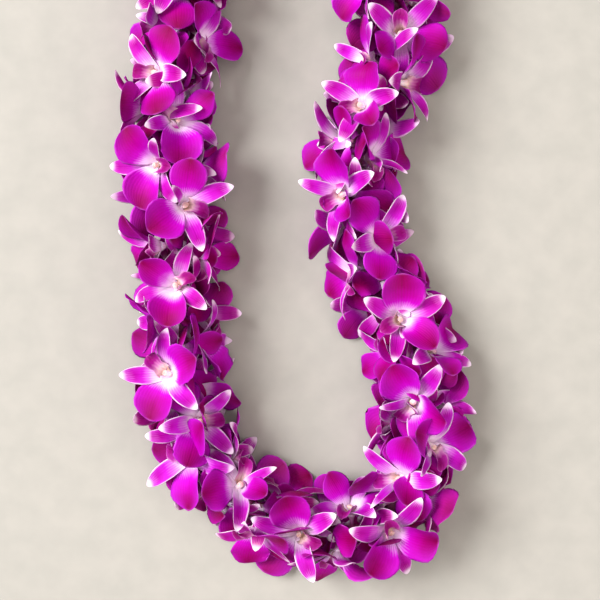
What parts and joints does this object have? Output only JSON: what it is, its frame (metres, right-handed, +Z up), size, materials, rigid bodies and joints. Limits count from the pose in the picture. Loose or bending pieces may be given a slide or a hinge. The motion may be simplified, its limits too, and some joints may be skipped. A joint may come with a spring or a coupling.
{
  "type": "fresh flower lei",
  "caption": "Double orchid lei: whole dendrobium blooms threaded through their necks on one knotted string, laid flat as a long closed loop.",
  "frame": {"origin": "under the middle of the loop, on the surface that the lei lies on", "axes": "+Z up from the surface, +Y along the loop's length towards the knot, +X across the loop"},
  "size_m": [0.2526, 0.5292, 0.0669],
  "materials": {
    "petals": "fresh orchid petal, magenta with white edges, tips and centre",
    "string": "soft off-white cotton string"
  },
  "bodies": {
    "root": {"string": "string", "bloom_pair_01": "petals", "bloom_pair_02": "petals", "bloom_pair_03": "petals", "bloom_pair_04": "petals", "bloom_pair_05": "petals", "bloom_pair_06": "petals", "bloom_pair_07": "petals", "bloom_pair_08": "petals", "bloom_pair_09": "petals", "bloom_pair_10": "petals", "bloom_pair_11": "petals", "bloom_pair_12": "petals", "bloom_pair_13": "petals", "bloom_pair_14": "petals", "bloom_pair_15": "petals", "bloom_pair_16": "petals", "bloom_pair_17": "petals", "bloom_pair_18": "petals", "bloom_pair_19": "petals", "bloom_pair_20": "petals", "bloom_pair_21": "petals", "bloom_pair_22": "petals", "bloom_pair_23": "petals", "bloom_pair_24": "petals", "bloom_pair_25": "petals", "bloom_pair_26": "petals", "bloom_pair_27": "petals", "bloom_pair_28": "petals", "bloom_pair_29": "petals", "bloom_pair_30": "petals", "bloom_pair_31": "petals", "bloom_pair_32": "petals", "bloom_pair_33": "petals", "bloom_pair_34": "petals", "bloom_pair_35": "petals", "bloom_pair_36": "petals", "bloom_pair_37": "petals", "bloom_pair_38": "petals", "bloom_pair_39": "petals", "bloom_pair_40": "petals", "bloom_pair_41": "petals", "bloom_pair_42": "petals", "bloom_pair_43": "petals", "bloom_pair_44": "petals", "bloom_pair_45": "petals", "bloom_pair_46": "petals", "bloom_pair_47": "petals", "bloom_pair_48": "petals"}
  },
  "joints": []
}
